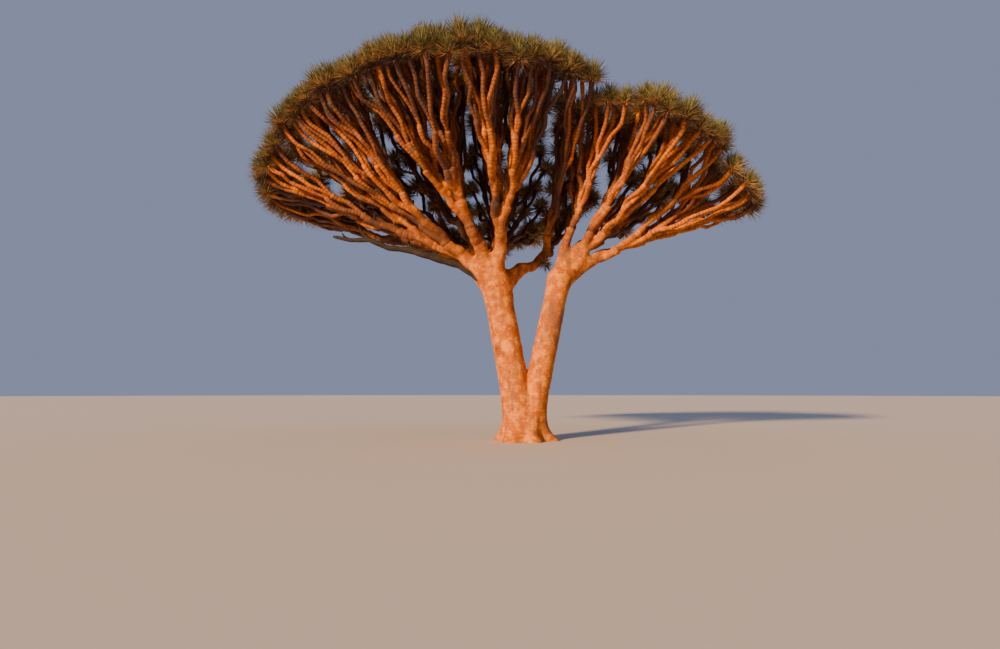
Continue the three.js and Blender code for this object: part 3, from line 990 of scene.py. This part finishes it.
# %% All rosettes
chance = np.random.default_rng(8)
leaf_corners = [[] for _ in LEAF_AGES]
for twig in twigs:
    if twig["last"]:
        size, step = (SHOOT_SIZE, SHOOT_LEAF_STEP) if twig is shoot else (1.0, 1)
        corners, age = rosette(twig["end"], twig["onward"], twig["code"], chance, size)
        for i, kept in enumerate(leaf_corners):
            kept.append(corners[::step][age[::step] == i])
leaf_corners = [np.concatenate(part) for part in leaf_corners]
print("rosettes:", sum(twig["last"] for twig in twigs))
print("leaves:", {name: len(part) for name, part in zip(LEAF_AGES, leaf_corners)})

# %% Leaf pieces
LEAF_CORNERS = 5
LEAF_FACES = ((0, 2, 1), (0, 3, 2), (1, 2, 4), (2, 3, 4))

leaf_pieces = {}
for name, part in zip(LEAF_AGES, leaf_corners):
    mesh = bpy.data.meshes.new(f"leaves_{name}")
    faces = np.arange(len(part))[:, None, None] * LEAF_CORNERS + np.array(LEAF_FACES)
    mesh.from_pydata(part.reshape(-1, 3).tolist(), [], faces.reshape(-1, 3).tolist())
    leaf_pieces[name] = piece_of(mesh, "foliage", *nodes_with("mass"))
print("leaf faces:", sum(len(piece.data.polygons) for piece in leaf_pieces.values()))

# %% [markdown]
# ## Writing materials as sums
# A material is a net of nodes. Wiring each by hand hides what the net works out, so a small class
# wraps one socket: adding or multiplying two wrapped sockets adds the Math node that does it. A
# colour would turn grey in a Math node, so colours go through Mix.

# %% A small language for materials
MIX_COLOURS = {"data_type": "RGBA"}
FIRST_COLOUR, SECOND_COLOUR, MIXED_COLOUR = 6, 7, 2


class Wire:
    """An output socket of a material's node."""

    def __init__(self, tree, socket=None):
        self.tree = tree
        self.socket = socket

    def node(self, kind, settings, sockets, output=0):
        """Adds a node: its settings first, then values or wires for its input sockets."""
        made = self.tree.nodes.new(kind)
        for name, value in settings.items():
            if name == "stops":
                set_stops(made.color_ramp, value)
            else:
                setattr(made, name, value)
        for name, value in sockets.items():
            if isinstance(value, Wire):
                self.tree.links.new(value.socket, made.inputs[name])
            else:
                made.inputs[name].default_value = value
        return Wire(self.tree, made.outputs[output]) if made.outputs else None

    def maths(self, operation, first, second=0.0):
        return self.node("ShaderNodeMath", {"operation": operation}, {0: first, 1: second})

    def __add__(self, other):
        return self.maths("ADD", self, other)

    def __radd__(self, other):
        return self.maths("ADD", other, self)

    def __sub__(self, other):
        return self.maths("SUBTRACT", self, other)

    def __rsub__(self, other):
        return self.maths("SUBTRACT", other, self)

    def __mul__(self, other):
        return self.maths("MULTIPLY", self, other)

    def __rmul__(self, other):
        return self.maths("MULTIPLY", other, self)

    def attribute(self, name):
        return self.node("ShaderNodeAttribute", {"attribute_name": name}, {}, "Fac")

    def noise(self, scale, detail=4.0, roughness=0.55):
        sockets = {"Vector": self, "Scale": scale, "Detail": detail, "Roughness": roughness}
        return self.node("ShaderNodeTexNoise", {}, sockets)

    def stretched(self, x, y, z):
        return self.node("ShaderNodeVectorMath", {"operation": "MULTIPLY"}, {0: self, 1: (x, y, z)})

    def near(self, centre, reach):
        """1 at a centre, falling to 0 at its reach."""
        apart = self.node("ShaderNodeVectorMath", {"operation": "DISTANCE"}, {0: self, 1: centre}, "Value")
        return self.maths("MAXIMUM", 1 - apart * (1 / reach))

    def ramp(self, *stops):
        """Goes from value to value as this one passes each stop."""
        return self.node("ShaderNodeValToRGB", {"stops": stops}, {"Fac": self})

    def between(self, first, second):
        """A colour from the first to the second, by this share."""
        sockets = {0: self, FIRST_COLOUR: (*first, 1), SECOND_COLOUR: (*second, 1)}
        return self.node("ShaderNodeMix", MIX_COLOURS, sockets, MIXED_COLOUR)

    def mix(self, share, colour):
        """This colour, with a share of another laid over it."""
        sockets = {0: share, FIRST_COLOUR: self, SECOND_COLOUR: (*colour, 1)}
        return self.node("ShaderNodeMix", MIX_COLOURS, sockets, MIXED_COLOUR)


def set_stops(ramp, stops):
    """Sets a ramp's stops, each a place and a grey value."""
    while len(ramp.elements) < len(stops):
        ramp.elements.new(1)
    for element, (place, value) in zip(ramp.elements, stops):
        element.position = place
        element.color = (value, value, value, 1)


print("operators:", [name for name in vars(Wire) if name.endswith(("add__", "sub__", "mul__"))])

# %% A new material
def finish_material(name, build):
    """A new material whose shader gets the values and wires that build returns."""
    material = bpy.data.materials.new(name)
    material.use_nodes = True
    material.node_tree.nodes.clear()
    start = Wire(material.node_tree)
    place = start.node("ShaderNodeTexCoord", {}, {}, "Object")
    shader = start.node("ShaderNodeBsdfPrincipled", {}, build(place))
    start.node("ShaderNodeOutputMaterial", {}, {"Surface": shader})
    return material


def bumps(place, distance, height):
    return place.node("ShaderNodeBump", {}, {"Strength": 0.8, "Distance": distance, "Height": height})


print("materials that came with the plain model:", len(bpy.data.materials))

# %% [markdown]
# ## Bark
# The bark is thin and smooth. Where the sun reaches it, it is a warm orange tan, mottled with cream
# and red brown, and greyer patches run down it. Fine dark rings cross it where leaves once sat. They
# follow each limb, so they are worked out from the distance along it. The stems have few of them,
# the twigs many, so each of three barks takes its own share of rings, grey, cream and painted shade.

# %% Bark colours
TAN = (0.50, 0.134, 0.011)
CREAM = (0.88, 0.320, 0.030)
RUST = (0.19, 0.045, 0.016)
SLATE = (0.14, 0.080, 0.060)
PALE = (0.66, 0.44, 0.27)
# SHADED is the colour of the painted shade on limbs deep in the crown.
SHADED = (0.062, 0.041, 0.038)
print("lightest bark:", CREAM, "darkest bark:", SHADED)

# %% [markdown]
# ## Marks of this tree's stems
# A tree is known by its marks. The left stem has a rusty scar with a pale worn spot in it, the right
# one has a speckled side and a small scar beside its head. Grey streaks on that side, which faces
# away from the light, are painted shade. A mark is strongest at its centre, and noise makes its edge
# ragged, because a clean circle would look like a sticker.

# %% Marks
SCARS = (((-0.49, -0.20, 1.66), 0.20), ((0.95, -0.12, 3.17), 0.06))
WORN_SPOT = ((-0.36, -0.26, 1.74), 0.16)
SHADED_SIDE = ((0.78, -0.05, 2.15), 0.75)
RAGGEDNESS = 3.2
MARK_STRENGTH = 1.8


def add_marks(colour, place, streak):
    ragged = (place.noise(17.0, 5.0, 0.7) - 0.5) * RAGGEDNESS
    shaded_side = place.near(*SHADED_SIDE)
    speck = place.noise(60.0, 2.0).ramp((0.66, 0.0), (0.70, 1.0))
    # Painted shade: grey streaks on the right stem's side away from the light; the pale specks there are
    # the bark's own.
    colour = colour.mix(shaded_side * streak.ramp((0.40, 0.0), (0.55, 0.8)), SLATE)
    colour = colour.mix(shaded_side * speck, PALE)
    for mark, tint in ((SCARS[0], RUST), (SCARS[1], RUST), (WORN_SPOT, CREAM)):
        near = place.near(*mark)
        body = (near * MARK_STRENGTH + ragged).ramp((0.5, 0.0), (1.0, 0.8))
        colour = colour.mix(body * near.ramp((0.0, 0.0), (0.3, 1.0)), tint)
    return colour


print("marks on the stems:", len(SCARS) + 2)

# %% Three barks
RING_SPACING = 0.062
RING_UNEVENNESS = 1.3
RING_DEPTH = 0.8
RUST_SHARE = 0.75
BARK_BUMP = 0.025
BARK_SHEEN = 0.18


def bark(rings, slate, cream, shade, marked=False):
    """A builder for one bark, from its share of rings, grey, cream and painted shade."""
    def build(place):
        # Patches as wide as a hand, flecks as wide as a finger, and streaks that run down the stem.
        mottle = place.noise(7.5, 7.0, 0.66)
        fleck = place.noise(34.0, 3.0)
        streak = place.stretched(3.0, 3.0, 0.7).noise(2.2, 5.0)
        turns = place.attribute("along") * (1 / RING_SPACING) + place.noise(6.0, 2.0) * RING_UNEVENNESS
        ring = place.maths("FRACT", turns).ramp((0.0, 0.0), (0.14, 1.0), (0.28, 0.40), (0.46, 0.0))
        rust = (fleck * 0.6 + mottle * 0.4).ramp((0.30, 1.0), (0.46, 0.0))
        colour = (mottle.ramp((0.46, 0.0), (0.60, 1.0)) * cream).between(TAN, CREAM)
        colour = colour.mix(rust * RUST_SHARE, RUST)
        colour = colour.mix(streak.ramp((0.54, 0.0), (0.66, 1.0)) * slate, SLATE)
        # Painted shade: limbs deep in the crown and under the leaves are darkened towards SHADED.
        colour = colour.mix(place.attribute("tone") * shade, SHADED)
        colour = colour.mix(ring * rings, RUST)
        if marked:
            colour = add_marks(colour, place, streak)
        return {
            "Base Color": colour,
            "Roughness": 0.66 + 0.16 * fleck,
            "Specular IOR Level": BARK_SHEEN,
            "Normal": bumps(place, BARK_BUMP, mottle * 0.6 + fleck * 0.3 - ring * (RING_DEPTH * rings)),
        }
    return build


stem_builder = bark(rings=0.16, slate=0.55, cream=0.80, shade=0.60, marked=True)
trunk_bark = finish_material("trunk_bark", stem_builder)
branch_bark = finish_material("branch_bark", bark(rings=0.45, slate=0.75, cream=0.55, shade=0.90))
twig_bark = finish_material("twig_bark", bark(rings=0.45, slate=0.80, cream=0.50, shade=0.92))
trunk.data.materials.append(trunk_bark)
branches.data.materials.append(branch_bark)
forked_twigs.data.materials.append(twig_bark)
single_twigs.data.materials.append(twig_bark)
print("nodes of the trunk's bark:", len(trunk_bark.node_tree.nodes))

# %% [markdown]
# ## Dead bark
# Dead wood weathers to a dark grey brown with fine cracks along the limb, and these colours are
# darkened further as painted shade, because the limb lies in shade. Noise that is squeezed across
# the limb gives the cracks, and a wider noise the patches.

# %% Dead bark
# These near-black colours are weathered wood darkened further as painted shade.
DEAD_BROWN = (0.010, 0.007, 0.006)
DEAD_GREY = (0.038, 0.025, 0.020)
CRACK_DEPTH = 0.015


def dead_bark(place):
    grain = place.stretched(1.0, 4.0, 4.0).noise(9.0, 6.0)
    patches = place.noise(4.0, 4.0)
    grey_share = (grain * 0.6 + patches * 0.4).ramp((0.42, 0.0), (0.62, 1.0))
    return {
        "Base Color": grey_share.between(DEAD_BROWN, DEAD_GREY),
        "Roughness": 0.8 + 0.15 * patches,
        "Normal": bumps(place, CRACK_DEPTH, grain),
    }


dead.data.materials.append(finish_material("dead_bark", dead_bark))
print("dead bark on:", dead.name)

# %% [markdown]
# ## Leaf colours
# A pattern on a leaf two pixels wide would be lost, so each age has one colour that only goes from
# darker to lighter, by a noise wider than a leaf. The mixture of ages makes the crown's colour.

# %% Leaf materials
LEAF_COLOURS = {
    "fresh": (0.145, 0.150, 0.062),
    "olive": (0.230, 0.190, 0.085),
    "golden": (0.440, 0.290, 0.120),
    "old": (0.170, 0.110, 0.066),
    "dry": (0.095, 0.062, 0.050),
}
DARKER, LIGHTER = 0.48, 1.7
LEAF_SHEEN = 0.25


def leaf(tint):
    dark, light = (tuple(change * part for part in tint) for change in (DARKER, LIGHTER))

    def build(place):
        uneven = place.noise(14.0, 3.0)
        return {
            "Base Color": uneven.ramp((0.35, 0.0), (0.65, 1.0)).between(dark, light),
            "Roughness": 0.62 + 0.2 * uneven,
            "Specular IOR Level": LEAF_SHEEN,
        }
    return build


for name, piece in leaf_pieces.items():
    piece.data.materials.append(finish_material(f"leaf_{name}", leaf(LEAF_COLOURS[name])))
print("leaf materials:", len(LEAF_COLOURS))

# %% [markdown]
# ## The floor
# A plain pale floor shows the tree and nothing else. It is wide enough for its edge to lie far
# behind the tree, where it reads as a horizon.

# %% Floor
FLOOR_RADIUS = 150.0
FLOOR_COLOUR = (0.54, 0.525, 0.50, 1)

floor_mesh = bpy.data.meshes.new("floor")
work = bmesh.new()
bmesh.ops.create_circle(work, cap_ends=True, segments=96, radius=FLOOR_RADIUS)
work.to_mesh(floor_mesh)
work.free()
floor = bpy.data.objects.new("floor", floor_mesh)
bpy.context.scene.collection.objects.link(floor)
floor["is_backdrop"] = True


def pale_floor(place):
    return {"Base Color": FLOOR_COLOUR, "Roughness": 0.85 + 0.1 * place.noise(0.8, 3.0)}


floor.data.materials.append(finish_material("pale_floor", pale_floor))
print("floor radius:", FLOOR_RADIUS, "m")

# %% [markdown]
# ## Light
# A low warm key light comes from the front left and is wide enough for soft shadows. The pale,
# slightly blue world fills them.

# %% Light
SKY = (0.55, 0.64, 0.95, 1)
SKY_STRENGTH = 0.42
SUN_COLOUR = (1.0, 0.60, 0.27)
SUN_STRENGTH = 8.8
SUN_WIDTH = math.radians(6)
SUN_FROM = Vector((-0.58, -0.74, 0.34))

world = bpy.data.worlds.new("pale_sky")
world.use_nodes = True
background = world.node_tree.nodes["Background"]
background.inputs["Color"].default_value = SKY
background.inputs["Strength"].default_value = SKY_STRENGTH
bpy.context.scene.world = world
sun = bpy.data.objects.new("key_light", bpy.data.lights.new("key_light", "SUN"))
sun.data.color = SUN_COLOUR
sun.data.energy = SUN_STRENGTH
sun.data.angle = SUN_WIDTH
sun.rotation_euler = SUN_FROM.to_track_quat("Z", "Y").to_euler()
bpy.context.scene.collection.objects.link(sun)
print("sun strength:", SUN_STRENGTH)

# %% [markdown]
# ## Measuring and finishing
# The dressed tree keeps to the plain model's box, so both boxes are written down and compared.
# The pieces are counted too: each has to stay below two hundred thousand triangles.

# %% Sizes and the end
dressed_box = [list(corner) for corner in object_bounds()]
for corner, dressed in zip(plain_box, dressed_box):
    print("past the plain box:", [round(b - a, 3) for a, b in zip(corner, dressed)])
for piece in (trunk, branches, forked_twigs, single_twigs, dead, *leaf_pieces.values()):
    print(piece.name, "has", sum(len(face.vertices) - 2 for face in piece.data.polygons), "triangles")
